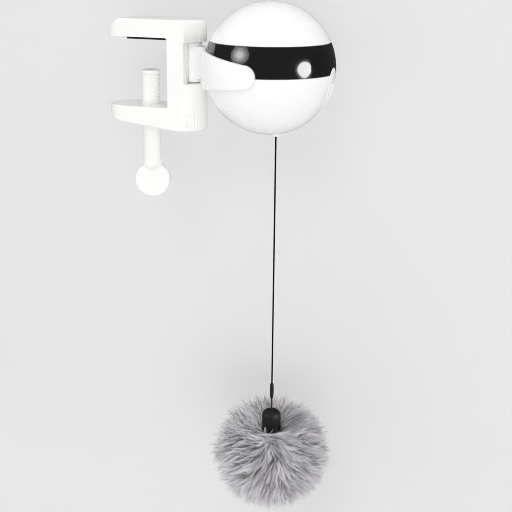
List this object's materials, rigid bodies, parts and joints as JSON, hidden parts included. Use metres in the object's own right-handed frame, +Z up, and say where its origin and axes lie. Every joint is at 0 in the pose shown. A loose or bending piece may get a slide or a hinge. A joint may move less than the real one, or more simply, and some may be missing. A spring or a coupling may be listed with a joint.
{
  "type": "electric cat ball",
  "caption": "Clamp-on electric cat ball: a table clamp and swivelling cradle hold a battery ball whose motor winds a line to raise and lower a fur lure.",
  "frame": {"origin": "centre of the upper jaw pad's lower face, which rests on the table top", "axes": "+Z up, +X from the jaws' mouth towards the ball, the lure hangs towards -Z"},
  "size_m": [0.1535, 0.089, 0.343],
  "materials": {
    "white_gloss": "smooth gloss moulding",
    "white_satin": "fine satin moulding",
    "black_gloss": "polished black",
    "black_rubber": "matt rubber",
    "grey_plastic": "plain inner moulding",
    "white_acetal": "plain white gear plastic",
    "steel": "bright steel",
    "motor_steel": "drawn steel can",
    "brass": "turned brass",
    "board_green": "board lacquer",
    "chip_black": "moulded resin",
    "cell_wrap": "plain printed sleeve",
    "line_black": "braided line",
    "loop_wire": "thin twisted wire",
    "cap_black": "satin black",
    "fur_grey": "long soft pile",
    "wire_jacket": "soft wire insulation"
  },
  "bodies": {
    "clamp": {"clamp_frame": "white_satin", "jaw_pad": "black_rubber", "pivot_foot": "white_satin", "pivot_pin": "steel", "pivot_washers": "grey_plastic"},
    "screw_tip": {"screw_tip_disc": "white_satin"},
    "screw": {"clamp_screw": "white_satin"},
    "cradle": {"cradle": "white_gloss"},
    "dome": {"top_dome": "white_gloss"},
    "button": {"power_button": "white_gloss", "switch_plunger": "white_acetal"},
    "drum": {"line_drum": "white_acetal", "drum_gear": "white_acetal", "line_winding": "line_black"},
    "idler": {"idler_gear": "white_acetal"},
    "rotor": {"motor_shaft": "steel", "motor_pinion": "brass"},
    "line": {"pull_line": "line_black"},
    "lure": {"line_sleeve": "line_black", "lure_loop": "loop_wire", "lure_cap": "cap_black", "lure_core": "black_rubber", "fur_ball": "fur_grey"},
    "ball": {"lower_shell": "white_gloss", "band_ring": "black_gloss", "line_guide": "white_gloss", "push_switch": "chip_black", "switch_board": "board_green", "switch_board_screws": "steel", "chassis": "grey_plastic", "drive_plate": "grey_plastic", "drum_axle": "steel", "idler_axle": "steel", "drive_screws": "steel", "motor_screws": "steel", "motor": "motor_steel", "chassis_screws": "steel", "main_board": "board_green", "main_board_screws": "steel", "control_chip": "chip_black", "battery_tray": "grey_plastic", "tray_screws": "steel", "battery_cell_1": "cell_wrap", "battery_cell_2": "cell_wrap", "battery_cell_3": "cell_wrap", "contact_springs": "steel", "contact_plates": "steel", "inner_line": "line_black", "motor_wires": "wire_jacket", "battery_wires": "wire_jacket", "switch_wire": "wire_jacket"}
  },
  "joints": [
    {"name": "tip_travel", "type": "slide", "parent": "clamp", "child": "screw_tip", "axis": [0, 0, 1], "range_m": [-0.025, 0.018]},
    {"name": "screw_turn", "type": "hinge", "parent": "screw_tip", "child": "screw", "pos_m": [-0.0025, 0, -0.0938], "axis": [0, 0, 1], "range_deg": [-4500, 3240]},
    {"name": "cradle_swivel", "type": "hinge", "parent": "clamp", "child": "cradle", "pos_m": [0.0285, 0, -0.0155], "axis": [0, 0, 1], "range_deg": [-30, 30]},
    {"name": "ball_turn", "type": "hinge", "parent": "cradle", "child": "ball", "pos_m": [0.0805, 0, -0.0155], "axis": [0, 0, 1], "continuous": true},
    {"name": "dome_twist", "type": "hinge", "parent": "ball", "child": "dome", "pos_m": [0.0805, 0, -0.0155], "axis": [0, 0, 1], "range_deg": [0, 30]},
    {"name": "button_press", "type": "slide", "parent": "ball", "child": "button", "axis": [0, 0, 1], "range_m": [0, 0.0012], "stiffness_N_per_m": 900, "springref_m": -0.0004},
    {"name": "string_swing", "type": "hinge", "parent": "ball", "child": "line", "pos_m": [0.0865, -0.004, -0.05697], "axis": [0, 1, 0], "range_deg": [-20, 20]},
    {"name": "lure_lift", "type": "slide", "parent": "line", "child": "lure", "axis": [0, 0, 1], "range_m": [0, 0.16], "deforming": ["pull_line"]},
    {"name": "drum_turn", "type": "hinge", "parent": "ball", "child": "drum", "pos_m": [0.07795, 0, -0.0365], "axis": [0, 1, 0], "range_deg": [-1080, 0]},
    {"name": "idler_turn", "type": "hinge", "parent": "ball", "child": "idler", "pos_m": [0.09094, 0, -0.029], "axis": [0, 1, 0], "range_deg": [0, 4320]},
    {"name": "motor_turn", "type": "hinge", "parent": "ball", "child": "rotor", "pos_m": [0.07795, 0, -0.0215], "axis": [0, 1, 0], "range_deg": [-17280, 0]}
  ],
  "couplings": [
    {"joint": "screw_turn", "follows": "tip_travel", "rad_per_m": 3141.6},
    {"joint": "drum_turn", "follows": "lure_lift", "rad_per_m": -116.96},
    {"joint": "idler_turn", "follows": "lure_lift", "rad_per_m": 467.84},
    {"joint": "motor_turn", "follows": "lure_lift", "rad_per_m": -1871.3}
  ]
}
